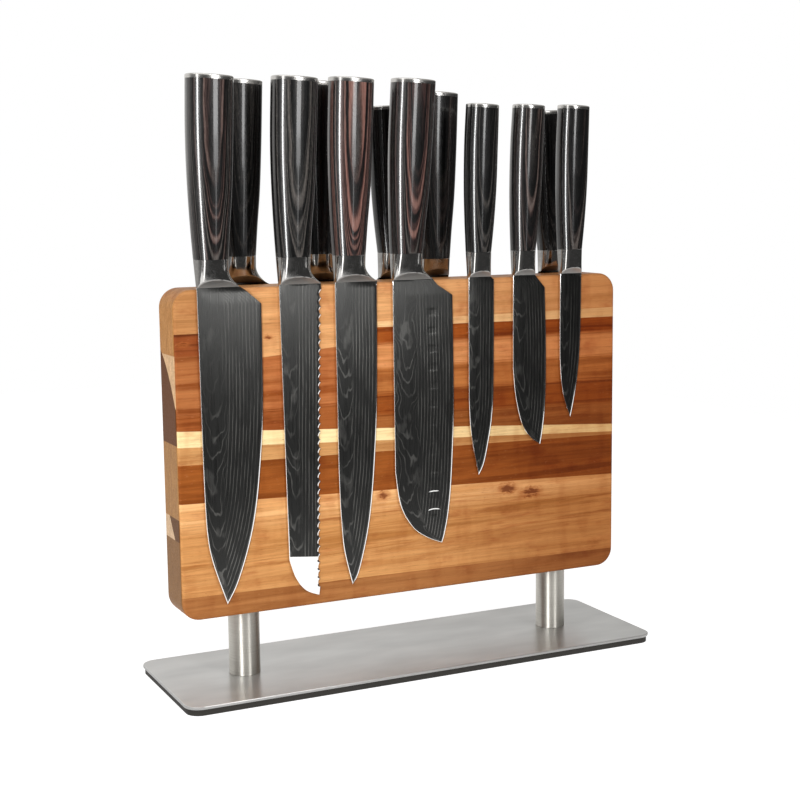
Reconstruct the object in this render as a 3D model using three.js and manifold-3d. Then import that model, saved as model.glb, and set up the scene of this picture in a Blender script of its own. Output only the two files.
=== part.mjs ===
// A double-sided magnetic knife stand with twelve knives, in millimetres, +Z up.
// X runs along the board, the front faces -Y, and the origin is the bottom centre of the base.

import * as THREE from "three";
import { mergeVertices } from "three/addons/utils/BufferGeometryUtils.js";
import Module from "manifold-3d";

const wasm = await Module();
wasm.setup();

const GAP = 0.3; // between pieces that touch

// Base: a steel plate on a black pad.
const BASE_LENGTH = 334;
const BASE_DEPTH = 105;
const BASE_CORNER = 10;
const PAD_INSET = 1.2; // of the pad's outline inside the plate's
const PAD_THICKNESS = 3.6;
const PLATE_BOTTOM = PAD_THICKNESS + GAP;
const PLATE_THICKNESS = 2;
const PLATE_TOP = PLATE_BOTTOM + PLATE_THICKNESS;

// Board: two laminated halves glued face to face, with the magnet bars in pockets between them.
const BOARD_LENGTH = 315;
const BOARD_HEIGHT = 205;
const BOARD_THICKNESS = 30;
const BOARD_CORNER = 12;
const BOARD_EDGE_ROUND = 2;
const BOARD_BOTTOM = 48;
const BOARD_MIDDLE = BOARD_BOTTOM + BOARD_HEIGHT / 2;

// Posts: tubes that long bolts pass through, from under the base up into the board.
const POST_X = { left: -112.5, right: 115.5 };
const POST_RADIUS = 10;
const BOLT_RADIUS = 3;
const BOLT_HOLE_RADIUS = 3.4;
const BOLT_TOP = 80;
const BOLT_HEAD_RADIUS = 6;
const BOLT_HEAD_HEIGHT = 2.2;
const PAD_HOLE_RADIUS = 7;

// Magnet bars: one pair of heights, near each face of the board.
const MAGNET_LENGTH = 288;
const MAGNET_HEIGHT = 20;
const MAGNET_THICKNESS = 5;
const MAGNET_Y = 9;
const MAGNET_LEVELS = { upper: 222, lower: 175 };

// Knives: a flat blade whose tang runs up through the bolster and the handle to the end cap.
const BLADE_THICKNESS = 2;
const BLADE_Y = BOARD_THICKNESS / 2 + GAP + BLADE_THICKNESS / 2;
const BLADE_TOP = BOARD_BOTTOM + BOARD_HEIGHT + 1;
const TANG_WIDTH = 9;
const SECTION_POWER = 2.3; // 2 would make the handle's section an ellipse
const SECTION_SIDES = 20;
const BUTT_SLOPE = 0.05; // fall of the butt per millimetre from spine to edge side
const CAP_RIM_ROUND = 0.8;
const LEAN_LENGTH = 124; // height above the blade at which a handle's lean is given
const TOOTH_COUNT = 36;
const TOOTH_DEPTH = 1.3;

// Handle sizes. A handle's stations are [height above the bolster, spine side, edge side, half thickness]
// across the knife's spine line. The bolster thins from its top to its shoulder and its foot at the blade.
const LARGE = {
  length: 109.1,
  cap: 2.7,
  handle: [
    [0, -0.6, 20.7, 9.3],
    [19, -1.7, 22.3, 9.8],
    [39, -2.5, 24.3, 10.2],
    [59, -2.9, 25.6, 10.4],
    [79, -2.7, 26.6, 10.4],
    [109.1, -1.6, 27.8, 10.2],
  ],
  footThickness: 1.6,
  shoulderThickness: 6.8,
};
const SMALL = {
  length: 95.1,
  cap: 2.5,
  handle: [
    [0, -0.3, 16.3, 7.6],
    [20, -1.1, 18.6, 8.1],
    [42, -1.45, 20.4, 8.5],
    [70, -0.9, 21.6, 8.6],
    [95.1, 0.6, 22.5, 8.5],
  ],
  footThickness: 1.5,
  shoulderThickness: 5.6,
};

// Blade outlines as [distance from the spine line, distance below the blade's top]. The back curves from the
// end of the straight spine to the tip, the edge from the tip to the heel, and the neck meets the bolster.
const BLADES = {
  chef: {
    back: [[1, 110], [2.2, 150], [5.5, 170], [14.5, 197.5]],
    edge: [[21, 186], [28, 167], [33.5, 146], [37.5, 119], [41, 74], [41.5, 11]],
    neck: [[31, 2], [27.5, 0]],
  },
  bread: {
    back: [[3, 174], [7, 186], [14, 195], [23.3, 199.3]],
    teeth: [[24, 194], [28.5, 4]],
    neck: [[28.5, 0]],
  },
  slicing: {
    back: [[0.6, 120], [1.5, 149], [3.5, 172], [9.2, 195.5]],
    edge: [[14, 187], [20.5, 162], [24.5, 134], [27.5, 94], [28.8, 54], [29.3, 2]],
    neck: [[29.3, 0]],
  },
  santoku: {
    back: [[0.5, 125], [4, 147], [12.5, 162], [23, 170], [34.5, 175]],
    edge: [[36.5, 169], [39.5, 154], [42, 129], [44, 80], [43.5, 11]],
    neck: [[32.5, 4], [29, 0]],
  },
  utility: {
    back: [[0, 80], [1, 99], [3.5, 115], [7.5, 132]],
    edge: [[11.5, 124], [15, 109], [17.5, 94], [19, 70], [19.5, 2]],
    neck: [[16.5, 0]],
  },
  small_santoku: {
    back: [[0, 62], [2, 81], [6.5, 99], [13, 109], [21.5, 115]],
    edge: [[23.5, 104], [25.5, 84], [26, 50], [25, 9]],
    neck: [[17, 0]],
  },
  paring: {
    back: [[0, 55], [1.2, 72], [4, 86], [9, 98]],
    edge: [[11.5, 87], [14.5, 70], [16.5, 47], [17.3, 2]],
    neck: [[16.8, 0]],
  },
  nakiri: {
    back: [[0, 160], [2, 171], [9, 178], [20, 180]],
    edge: [[33, 179], [41, 174], [44.5, 160], [46, 90], [46, 11]],
    neck: [[31, 2], [27.5, 0]],
  },
  carving: {
    back: [[0.4, 140], [2, 166], [5.5, 184], [12, 200]],
    edge: [[17, 190], [22.5, 168], [26, 134], [27.5, 80], [28, 2]],
    neck: [[28, 0]],
  },
  steak: {
    back: [[0, 70], [1, 90], [4, 106], [9, 120]],
    edge: [[12, 110], [15.5, 92], [17.5, 68], [18.5, 2]],
    neck: [[16.5, 0]],
  },
  boning: {
    back: [[0.3, 90], [1.5, 115], [4.5, 135], [9, 152]],
    edge: [[12.5, 140], [16, 118], [17.5, 84], [18.5, 44], [20.7, 2]],
    neck: [[20.7, 0]],
  },
  petty: {
    back: [[0, 50], [1.5, 68], [5, 82], [10, 93]],
    edge: [[13, 82], [16, 62], [17.5, 36], [17.5, 2]],
    neck: [[16.5, 0]],
  },
};

// Where each knife hangs. x is its spine line, bolster is the bolster's height and lean is how far the butt
// tilts towards the edge. Edges point to +X, or to -X where the knife is turned.
const KNIVES = [
  { name: "chef", face: -1, x: -143, size: LARGE, bolster: 17, lean: -1 },
  { name: "bread", face: -1, x: -90, size: LARGE, bolster: 17, lean: 0.4 },
  { name: "slicing", face: -1, x: -52.5, size: LARGE, bolster: 17, lean: 0.7 },
  { name: "santoku", face: -1, x: -12.5, size: LARGE, bolster: 17, lean: 3.6 },
  { name: "utility", face: -1, x: 42.5, size: SMALL, bolster: 16.3, lean: 0 },
  { name: "small_santoku", face: -1, x: 76, size: SMALL, bolster: 16.3, lean: 1.2 },
  { name: "paring", face: -1, x: 112.5, size: SMALL, bolster: 16.3, lean: -1 },
  { name: "nakiri", face: 1, x: -113.5, size: LARGE, bolster: 17, lean: 0 },
  { name: "carving", face: 1, x: -60, size: LARGE, bolster: 17, lean: 0 },
  { name: "steak", face: 1, x: 10, size: SMALL, bolster: 16.3, lean: 0, turned: true },
  { name: "boning", face: 1, x: 24.3, size: LARGE, bolster: 11.5, lean: 0 },
  { name: "petty", face: 1, x: 132.5, size: SMALL, bolster: 14.5, lean: 0, turned: true },
];

const FINISHES = {
  steel: { color: 0xb4b2ae, roughness: 0.32, metalness: 1 },
  polished: { color: 0xc9c7c4, roughness: 0.14, metalness: 1 },
  rubber: { color: 0x141414, roughness: 0.9, metalness: 0 },
  acacia: { color: 0xc98a4e, roughness: 0.5, metalness: 0 },
  magnet: { color: 0x55565a, roughness: 0.5, metalness: 0.8 },
  coated: { color: 0x2b2e2d, roughness: 0.45, metalness: 0.6 },
  laminate: { color: 0x33291f, roughness: 0.25, metalness: 0 },
};

function piece(name, geometry, finish) {
  const mesh = new THREE.Mesh(geometry, new THREE.MeshStandardMaterial(FINISHES[finish]));
  mesh.name = name;
  return mesh;
}

function solidOf(geometry) {
  const bare = geometry.clone();
  bare.deleteAttribute("normal");
  bare.deleteAttribute("uv");
  const merged = mergeVertices(bare, 1e-4);
  return new wasm.Manifold(
    new wasm.Mesh({
      numProp: 3,
      vertProperties: merged.getAttribute("position").array,
      triVerts: new Uint32Array(merged.index.array),
    }),
  );
}

function geometryOf(solid) {
  const mesh = solid.getMesh();
  const geometry = new THREE.BufferGeometry();
  geometry.setAttribute("position", new THREE.BufferAttribute(mesh.vertProperties, 3));
  geometry.setIndex(new THREE.BufferAttribute(mesh.triVerts, 1));
  return geometry;
}

function cut(geometry, ...tools) {
  const solid = tools.reduce((rest, tool) => rest.subtract(solidOf(tool)), solidOf(geometry));
  return geometryOf(solid);
}

function roundedRectangle(width, height, corner) {
  const shape = new THREE.Shape();
  const x = width / 2 - corner;
  const y = height / 2 - corner;
  shape.absarc(x, y, corner, 0, Math.PI / 2);
  shape.absarc(-x, y, corner, Math.PI / 2, Math.PI);
  shape.absarc(-x, -y, corner, Math.PI, Math.PI * 1.5);
  shape.absarc(x, -y, corner, Math.PI * 1.5, Math.PI * 2);
  return shape;
}

// An upright rod in the board's middle plane.
function rod(radius, bottom, top, x) {
  const height = top - bottom;
  return new THREE.CylinderGeometry(radius, radius, height, 24)
    .rotateX(Math.PI / 2)
    .translate(x, 0, bottom + height / 2);
}

function atPosts(make) {
  return Object.values(POST_X).map(make);
}

function basePlate() {
  const outline = roundedRectangle(BASE_LENGTH, BASE_DEPTH, BASE_CORNER);
  const slab = new THREE.ExtrudeGeometry(outline, {
    depth: PLATE_THICKNESS,
    bevelEnabled: false,
    curveSegments: 8,
  }).translate(0, 0, PLATE_BOTTOM);
  return cut(slab, ...atPosts((x) => rod(BOLT_HOLE_RADIUS, 0, PLATE_TOP + 1, x)));
}

function basePad() {
  const outline = roundedRectangle(
    BASE_LENGTH - 2 * PAD_INSET,
    BASE_DEPTH - 2 * PAD_INSET,
    BASE_CORNER - PAD_INSET,
  );
  const slab = new THREE.ExtrudeGeometry(outline, {
    depth: PAD_THICKNESS,
    bevelEnabled: false,
    curveSegments: 8,
  });
  return cut(slab, ...atPosts((x) => rod(PAD_HOLE_RADIUS, -1, PAD_THICKNESS + 1, x)));
}

function post() {
  const profile = [
    [BOLT_HOLE_RADIUS, PLATE_TOP + GAP],
    [POST_RADIUS, PLATE_TOP + GAP],
    [POST_RADIUS, BOARD_BOTTOM - GAP],
    [BOLT_HOLE_RADIUS, BOARD_BOTTOM - GAP],
    [BOLT_HOLE_RADIUS, PLATE_TOP + GAP],
  ];
  return new THREE.LatheGeometry(vectors(profile), 32).rotateX(Math.PI / 2);
}

function bolt() {
  const headBottom = PAD_THICKNESS - BOLT_HEAD_HEIGHT;
  const profile = [
    [0, headBottom],
    [BOLT_HEAD_RADIUS, headBottom],
    [BOLT_HEAD_RADIUS, PAD_THICKNESS],
    [BOLT_RADIUS, PAD_THICKNESS],
    [BOLT_RADIUS, BOLT_TOP - GAP],
    [0, BOLT_TOP - GAP],
  ];
  return new THREE.LatheGeometry(vectors(profile), 24).rotateX(Math.PI / 2);
}

function vectors(points) {
  return points.map(([x, y]) => new THREE.Vector2(x, y));
}

function magnetBar(level, face) {
  return new THREE.BoxGeometry(MAGNET_LENGTH, MAGNET_THICKNESS, MAGNET_HEIGHT)
    .translate(0, face * MAGNET_Y, level);
}

// A pocket reaches from the glued face to just past the magnet bar.
function magnetPocket(level, face) {
  const depth = MAGNET_Y + MAGNET_THICKNESS / 2 + GAP;
  return new THREE.BoxGeometry(
    MAGNET_LENGTH + 2 * GAP,
    depth,
    MAGNET_HEIGHT + 2 * GAP,
  ).translate(0, (face * depth) / 2, level);
}

function boardHalf(face) {
  const inset = 2 * BOARD_EDGE_ROUND;
  const outline = roundedRectangle(
    BOARD_LENGTH - inset,
    BOARD_HEIGHT - inset,
    BOARD_CORNER - BOARD_EDGE_ROUND,
  );
  const whole = new THREE.ExtrudeGeometry(outline, {
    depth: BOARD_THICKNESS - inset,
    bevelSize: BOARD_EDGE_ROUND,
    bevelThickness: BOARD_EDGE_ROUND,
    bevelSegments: 3,
    curveSegments: 6,
  })
    .rotateX(Math.PI / 2)
    .translate(0, BOARD_THICKNESS / 2 - BOARD_EDGE_ROUND, BOARD_MIDDLE);
  const otherHalf = new THREE.BoxGeometry(BOARD_LENGTH + 10, BOARD_THICKNESS, BOARD_HEIGHT + 10)
    .translate(0, face * (GAP / 2 - BOARD_THICKNESS / 2), BOARD_MIDDLE);
  const pockets = Object.values(MAGNET_LEVELS).map((level) => magnetPocket(level, face));
  const boltHoles = atPosts((x) => rod(BOLT_HOLE_RADIUS, 0, BOLT_TOP, x));
  return cut(whole, otherHalf, ...pockets, ...boltHoles);
}

function stand() {
  const group = new THREE.Group();
  group.add(piece("base_plate", basePlate(), "steel"));
  group.add(piece("base_pad", basePad(), "rubber"));
  for (const [side, x] of Object.entries(POST_X)) {
    group.add(piece(`${side}_post`, post().translate(x, 0, 0), "steel"));
    group.add(piece(`${side}_bolt`, bolt().translate(x, 0, 0), "steel"));
  }
  for (const [name, face] of [["front", -1], ["back", 1]]) {
    group.add(piece(`${name}_board`, boardHalf(face), "acacia"));
    for (const [row, level] of Object.entries(MAGNET_LEVELS)) {
      group.add(piece(`${name}_${row}_magnet_bar`, magnetBar(level, face), "magnet"));
    }
  }
  return group;
}

// A closed column of rounded sections. Each ring is [height, left, right, half thickness, shift, slope].
function column(rings) {
  const geometry = new THREE.CylinderGeometry(1, 1, rings.length - 1, SECTION_SIDES, rings.length - 1)
    .rotateX(Math.PI / 2);
  const position = geometry.getAttribute("position");
  for (let i = 0; i < position.count; i++) {
    const index = Math.round(position.getZ(i) + (rings.length - 1) / 2);
    const [height, left, right, half, shift, slope] = rings[index];
    const middle = (left + right) / 2;
    const x = rounded(position.getX(i)) * ((right - left) / 2);
    const y = rounded(position.getY(i)) * half;
    position.setXYZ(i, middle + shift + x, y, height - slope * x);
  }
  return geometry;
}

// Pushes a unit circle's coordinate out towards a square, which gives the superellipse section.
function rounded(value) {
  return Math.sign(value) * Math.abs(value) ** (2 / SECTION_POWER);
}

function leanAt(knife, height) {
  return (knife.lean * height) / LEAN_LENGTH;
}

// The handle's section at a height above the bolster.
function station(size, height) {
  const rows = size.handle;
  const next = Math.max(1, rows.findIndex((row) => row[0] >= height));
  const below = rows[next - 1];
  const above = rows[next];
  const part = (height - below[0]) / (above[0] - below[0]);
  return below.map((value, i) => value + part * (above[i] - value));
}

function handleRing(knife, height, inset = 0, slope = 0) {
  const [, left, right, half] = station(knife.size, height);
  const up = knife.bolster + height;
  return [up, left + inset, right - inset, half - inset, leanAt(knife, up), slope];
}

// The tang as a flat tapering bar in the X-Z plane, grown by an allowance where it is the slot's tool.
function tangCorners(knife, bottom, top, grow = 0) {
  const half = TANG_WIDTH / 2 + grow;
  return [bottom, top].map((height) => {
    const up = Math.max(height - knife.bolster, 0);
    const [, left, right] = station(knife.size, Math.min(up, knife.size.length));
    const middle = (left + right) / 2 + leanAt(knife, height);
    return { left: middle - half, right: middle + half, height };
  });
}

function flat(shape, thickness) {
  return new THREE.ExtrudeGeometry(shape, {
    depth: thickness,
    bevelEnabled: false,
    curveSegments: 3,
  })
    .rotateX(Math.PI / 2)
    .translate(0, thickness / 2, 0);
}

function tangSlot(knife) {
  const [low, high] = tangCorners(knife, -1, knife.bolster + knife.size.length + 1, GAP);
  const shape = new THREE.Shape(
    vectors([
      [low.left, low.height],
      [low.right, low.height],
      [high.right, high.height],
      [high.left, high.height],
    ]),
  );
  return flat(shape, BLADE_THICKNESS + 2 * GAP);
}

function blade(knife) {
  const { back, edge, teeth, neck } = BLADES[knife.name];
  const down = (points) => vectors(points.map(([x, drop]) => [x, -drop]));
  const shape = new THREE.Shape();
  shape.moveTo(0, 0);
  shape.lineTo(back[0][0], -back[0][1]);
  shape.splineThru(down(back.slice(1)));
  if (edge) shape.splineThru(down(edge));
  else addTeeth(shape, teeth);
  for (const [x, drop] of neck) shape.lineTo(x, -drop);
  const top = knife.bolster + knife.size.length - knife.size.cap - 2 * GAP;
  const [low, high] = tangCorners(knife, 0, top);
  shape.lineTo(low.right, 0);
  shape.lineTo(high.right, top);
  shape.lineTo(high.left, top);
  shape.lineTo(low.left, 0);
  return flat(shape, BLADE_THICKNESS);
}

// A run of pointed teeth along a straight edge.
function addTeeth(shape, [start, end]) {
  for (let i = 0; i <= 2 * TOOTH_COUNT; i++) {
    const part = i / (2 * TOOTH_COUNT);
    const x = start[0] + part * (end[0] - start[0]) - (i % 2) * TOOTH_DEPTH;
    shape.lineTo(x, -(start[1] + part * (end[1] - start[1])));
  }
}

function bolster(knife) {
  const { size, bolster: height } = knife;
  const neck = BLADES[knife.name].neck.at(-1)[0];
  const [, left, right, half] = station(size, 0);
  const flare = neck - right;
  const waist = (size.shoulderThickness + half) / 2;
  const rings = [
    [GAP, 0.3, neck, size.footThickness, 0, 0],
    [0.22 * height, 0, right + 0.45 * flare, size.shoulderThickness, 0, 0],
    [0.45 * height, -0.2, right + 0.07 * flare, waist, 0, 0],
    [height, left, right, half, leanAt(knife, height), 0],
  ];
  return cut(column(rings), tangSlot(knife));
}

function handle(knife) {
  const { size } = knife;
  const top = size.length - size.cap - GAP;
  const between = size.handle.slice(1, -1).map((row) => handleRing(knife, row[0]));
  const rings = [handleRing(knife, GAP), ...between, handleRing(knife, top, 0, BUTT_SLOPE)];
  return cut(column(rings), tangSlot(knife));
}

function endCap(knife) {
  const { size } = knife;
  return column([
    handleRing(knife, size.length - size.cap, 0, BUTT_SLOPE),
    handleRing(knife, size.length - CAP_RIM_ROUND, 0, BUTT_SLOPE),
    handleRing(knife, size.length, CAP_RIM_ROUND, BUTT_SLOPE),
  ]);
}

function knifeGroup(knife) {
  const group = new THREE.Group();
  group.add(piece(`${knife.name}_blade`, blade(knife), "coated"));
  group.add(piece(`${knife.name}_bolster`, bolster(knife), "polished"));
  group.add(piece(`${knife.name}_handle`, handle(knife), "laminate"));
  group.add(piece(`${knife.name}_end_cap`, endCap(knife), "polished"));
  group.position.set(knife.x, knife.face * BLADE_Y, BLADE_TOP);
  group.rotation.z = knife.turned ? Math.PI : 0;
  return group;
}

const knifeStand = new THREE.Group();
knifeStand.add(stand());
for (const knife of KNIVES) knifeStand.add(knifeGroup(knife));

export default knifeStand;
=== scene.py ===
"""Looks of a double-sided magnetic knife stand with twelve knives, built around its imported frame."""

from collections import namedtuple
from math import copysign, cos, hypot, pi, radians, sin, sqrt, tan

import bpy
from mathutils import Matrix, Vector


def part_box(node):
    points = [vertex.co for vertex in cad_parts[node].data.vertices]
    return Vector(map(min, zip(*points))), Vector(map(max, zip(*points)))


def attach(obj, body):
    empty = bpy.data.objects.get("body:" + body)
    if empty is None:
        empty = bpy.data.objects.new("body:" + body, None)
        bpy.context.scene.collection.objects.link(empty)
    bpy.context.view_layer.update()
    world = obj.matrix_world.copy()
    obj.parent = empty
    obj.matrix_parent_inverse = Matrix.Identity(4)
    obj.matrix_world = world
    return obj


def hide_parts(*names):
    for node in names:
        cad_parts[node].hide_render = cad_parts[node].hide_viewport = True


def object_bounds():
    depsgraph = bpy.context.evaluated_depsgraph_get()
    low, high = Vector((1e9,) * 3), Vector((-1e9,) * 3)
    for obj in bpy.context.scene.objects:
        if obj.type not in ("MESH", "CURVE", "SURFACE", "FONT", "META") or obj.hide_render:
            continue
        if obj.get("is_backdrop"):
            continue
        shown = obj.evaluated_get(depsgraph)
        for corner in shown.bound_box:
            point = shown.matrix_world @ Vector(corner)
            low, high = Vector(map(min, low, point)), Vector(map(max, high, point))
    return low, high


MM = 0.001

# The camera's place and turn, in millimetres and degrees.
CAMERA_PLACE = (-429.4, -894.5, 311.7)
CAMERA_AZIMUTH = 25.65
CAMERA_DOWN = 7.9
CAMERA_ROLL = -0.67
CAMERA_LENS = 68.43
SENSOR_WIDTH = 36.0

# The floor's left, right, front and back edges, in millimetres.
FLOOR = (-900.0, 900.0, -430.0, 1500.0)
FLOOR_LEVEL = -0.2

# Softboxes as seen from the object: azimuth from the front towards +X, lowest and highest angle above the
# horizon and width, in degrees, then distance in metres and brightness.
SOFTBOXES = {
    "key_strip": (-44.0, -32.0, 42.0, 9.5, 2.0, 11.0),
    "front_box": (17.0, 2.8, 40.0, 9.0, 2.0, 7.0),
    "front_dim": (17.0, 0.3, 2.8, 9.0, 2.0, 4.0),
    "front_sliver": (17.0, -6.0, 0.3, 2.5, 2.0, 2.5),
    "front_fill": (-30.0, 40.0, 75.0, 70.0, 1.4, 1.0),
    "top_box": (0.0, 78.0, 102.0, 45.0, 2.4, 1.0),
    "key_shine": (-44.0, -32.0, 42.0, 5.0, 1.9, 15.0),
    "steel_strip": (-44.0, -32.0, 42.0, 10.0, 2.0, 2.6),
}
# These only show as a reflection.
SHINE_ONLY = ("key_shine", "steel_strip", "blade_box")
LIGHT_CENTRE = (0.0, 0.0, 0.32)

# A low box close in front that only the blades reflect, in metres.
BLADE_BOX_CENTRE = (0.13, -0.56, 0.262)
BLADE_BOX_AWAY = (0.2, -1.0, 0.0)
BLADE_BOX_SIZE = (0.3, 0.08)
BLADE_BOX_BRIGHTNESS = 10.0

# The stand's own details, in millimetres. A post reaches a little way into the gaps at its two ends.
PLATE_CORNER = 10.0
PLATE_EDGE_ROUND = 0.5
BOARD_CORNER = 12.0
BOARD_EDGE_ROUND = 2.0
POST_EDGE_ROUND = 0.4
POST_OVERLAP = 0.25
POST_SIDES = 96
CREASE_DEGREES = 32

# A blade's thickness, in millimetres. It is ground over part of its widest width.
BLADE_HALF = 1.0
GRIND_HALF = 0.35
GRIND_PART = 0.75
EDGE_HALF = 0.04
EDGE_BEVEL = 0.8
SPINE_ROUND = 0.5
SPINE_STEPS = 4
TOOTH_COUNT = 36
TOOTH_DEPTH = 1.4
TOOTH_POWER = 0.8

# The rows of a blade's grid, in millimetres: their steps, how many share the way left near the tip, where
# they end, and how far they keep from the heel's corners.
ROW_STEP = 2.0
FINE_ROW_STEP = 0.55
LEAST_ROW_STEP = 0.1
ROWS_TO_TIP = 7
TIP_NEAR = 0.12
TIP_ROW_LIMIT = 0.05
TIP_END = 0.04
HEEL_DROP = 12
HEEL_CLEARANCE = 0.3

# The columns of a blade's grid. Rows narrower than NARROW_ROW have a smaller spine and bevel.
COLUMNS = 22
DIMPLED_COLUMNS = 56
NARROW_ROW = 4
LEAST_WIDTH = 0.05
SPINE_MARGIN = 1.2
BEVEL_MIDDLE = 0.4
BEVEL_REACH = 1.1
HEEL_MARGIN = 2.0
FAR_FROM_EDGE = 99.0

# Handles, bolsters and end caps, in millimetres.
GAP = 0.3
SEAM = 0.05
SECTION_POWER = 2.3
SECTION_SIDES = 64
BUTT_SLOPE = 0.05
BUTT_START = 0.7
LEAN_LENGTH = 124.0
HANDLE_STEPS = 40
TANG_HALF_WIDTH = 4.5
TANG_MEASURES = (10.0, 10.0, 0.0)
CAP_RIM_ROUND = 0.9
CAP_RIM_STEPS = 6
BOLSTER_STEPS = 48
BOLSTER_CROWDING = 1.5
FLARE_REACH = 0.62
SWELL_POWER = 0.9
NECK_START = 0.25

# A handle's stations are (height above the bolster, spine side, edge side, half thickness).
Size = namedtuple("Size", "length cap foot shoulder plunge stations")
LARGE_STATIONS = [
    (0, -0.6, 20.7, 9.3),
    (19, -1.7, 22.3, 9.8),
    (39, -2.5, 24.3, 10.2),
    (59, -2.9, 25.6, 10.4),
    (79, -2.7, 26.6, 10.4),
    (109.1, -1.6, 27.8, 10.2),
]
SMALL_STATIONS = [
    (0, -0.3, 16.3, 7.6),
    (20, -1.1, 18.6, 8.1),
    (42, -1.45, 20.4, 8.5),
    (70, -0.9, 21.6, 8.6),
    (95.1, 0.6, 22.5, 8.5),
]
LARGE = Size(109.1, 2.7, 1.6, 6.0, 4.7, LARGE_STATIONS)
SMALL = Size(95.1, 2.5, 1.5, 5.6, 4.0, SMALL_STATIONS)

# Blade outlines as (distance from the spine line, distance below the blade's top). A serrated edge is given
# by its two ends.
Outline = namedtuple("Outline", "back edge neck")
BLADES = {
    "chef": Outline(
        [(1, 110), (2.2, 150), (5.5, 170), (14.5, 197.5)],
        [(21, 186), (28, 167), (33.5, 146), (37.5, 119), (41, 74), (41.5, 11)],
        [(31, 2), (27.5, 0)],
    ),
    "bread": Outline(
        [(3, 174), (7, 186), (14, 195), (23.3, 199.3)],
        [(24, 194), (28.5, 4)],
        [(28.5, 0)],
    ),
    "slicing": Outline(
        [(0.6, 120), (1.5, 149), (3.5, 172), (9.2, 195.5)],
        [(14, 187), (20.5, 162), (24.5, 134), (27.5, 94), (28.8, 54), (29.3, 2)],
        [(29.3, 0)],
    ),
    "santoku": Outline(
        [(0.5, 125), (4, 147), (12.5, 162), (23, 170), (34.5, 175)],
        [(36.5, 169), (39.5, 154), (42, 129), (44, 80), (43.5, 11)],
        [(32.5, 4), (29, 0)],
    ),
    "utility": Outline(
        [(0, 80), (1, 99), (3.5, 115), (7.5, 132)],
        [(11.5, 124), (15, 109), (17.5, 94), (19, 70), (19.5, 2)],
        [(16.5, 0)],
    ),
    "small_santoku": Outline(
        [(0, 62), (2, 81), (6.5, 99), (13, 109), (21.5, 115)],
        [(23.5, 104), (25.5, 84), (26, 50), (25, 9)],
        [(17, 0)],
    ),
    "paring": Outline(
        [(0, 55), (1.2, 72), (4, 86), (9, 98)],
        [(11.5, 87), (14.5, 70), (16.5, 47), (17.3, 2)],
        [(16.8, 0)],
    ),
    "nakiri": Outline(
        [(0, 160), (2, 171), (9, 178), (20, 180)],
        [(33, 179), (41, 174), (44.5, 160), (46, 90), (46, 11)],
        [(31, 2), (27.5, 0)],
    ),
    "carving": Outline(
        [(0.4, 140), (2, 166), (5.5, 184), (12, 200)],
        [(17, 190), (22.5, 168), (26, 134), (27.5, 80), (28, 2)],
        [(28, 0)],
    ),
    "steak": Outline(
        [(0, 70), (1, 90), (4, 106), (9, 120)],
        [(12, 110), (15.5, 92), (17.5, 68), (18.5, 2)],
        [(16.5, 0)],
    ),
    "boning": Outline(
        [(0.3, 90), (1.5, 115), (4.5, 135), (9, 152)],
        [(12.5, 140), (16, 118), (17.5, 84), (18.5, 44), (20.7, 2)],
        [(20.7, 0)],
    ),
    "petty": Outline(
        [(0, 50), (1.5, 68), (5, 82), (10, 93)],
        [(13, 82), (16, 62), (17.5, 36), (17.5, 2)],
        [(16.5, 0)],
    ),
}

# bolster is its height and lean the butt's tilt towards the edge. redness tints a handle's layers and pale
# lightens them. The blade's pattern is faint over the top fade millimetres.
Knife = namedtuple("Knife", "name size bolster lean redness pale fade seed")
KNIVES = [
    Knife("chef", LARGE, 17.0, -1.0, 0.3, 0.9, 110.0, 3.1),
    Knife("bread", LARGE, 17.0, 0.4, 0.0, 0.8, 70.0, 11.7),
    Knife("slicing", LARGE, 17.0, 0.7, 0.9, 1.0, 50.0, 24.2),
    Knife("santoku", LARGE, 17.0, 3.6, 0.7, 1.0, 40.0, 37.9),
    Knife("utility", SMALL, 16.3, 0.0, 0.0, 0.6, 25.0, 45.3),
    Knife("small_santoku", SMALL, 16.3, 1.2, 0.2, 0.8, 25.0, 58.8),
    Knife("paring", SMALL, 16.3, -1.0, 0.1, 0.6, 25.0, 66.4),
    Knife("nakiri", LARGE, 17.0, 0.0, 0.0, 0.3, 25.0, 73.6),
    Knife("carving", LARGE, 17.0, 0.0, 0.1, 0.25, 25.0, 81.5),
    Knife("steak", SMALL, 16.3, 0.0, 0.0, 0.2, 25.0, 95.2),
    Knife("boning", LARGE, 11.5, 0.0, 0.1, 0.55, 25.0, 104.9),
    Knife("petty", SMALL, 14.5, 0.0, 0.0, 0.2, 25.0, 112.3),
]
TURNED = ("steak", "petty")
DIMPLED = "santoku"
SERRATED = "bread"
KNIFE_SLOTS = {
    "blade": "blade_coating",
    "bolster": "bolster_steel",
    "handle": "handle_laminate",
    "end_cap": "bolster_steel",
}

# The santoku's row of shallow oval hollows above its edge. The lowest ones get painted highlights on their
# upper rims, drawn as bright bare steel.
DIMPLE = {"centre": 28.5, "first": 153.5, "pitch": 12.0, "count": 12, "half_width": 5.2, "half_height": 2.4}
DIMPLE_DEPTH = 0.09
DIMPLE_WALL = 2.4
HIGHLIGHTED_HOLLOWS = 2

# The bread knife's polished end starts at this drop below the blade's top, with this slope across the blade.
POLISHED_DROP = 172.0
POLISHED_SLOPE = 0.11

# The pitch of the layered pattern's lines and arches, in millimetres.
LINE_PITCH = 2.3
ARCH_PITCH = 14.0

# The handle's layers from dark to light, each by the noise value where it lies.
LAYERS = [(0.45, "#070707"), (0.51, "#0f0f0f"), (0.56, "#232221"), (0.61, "#3f3c39"), (0.69, "#5e5955")]
RED_LAYERS = [(0.45, "#0d0a0a"), (0.51, "#412b28"), (0.6, "#80594f")]

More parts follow.
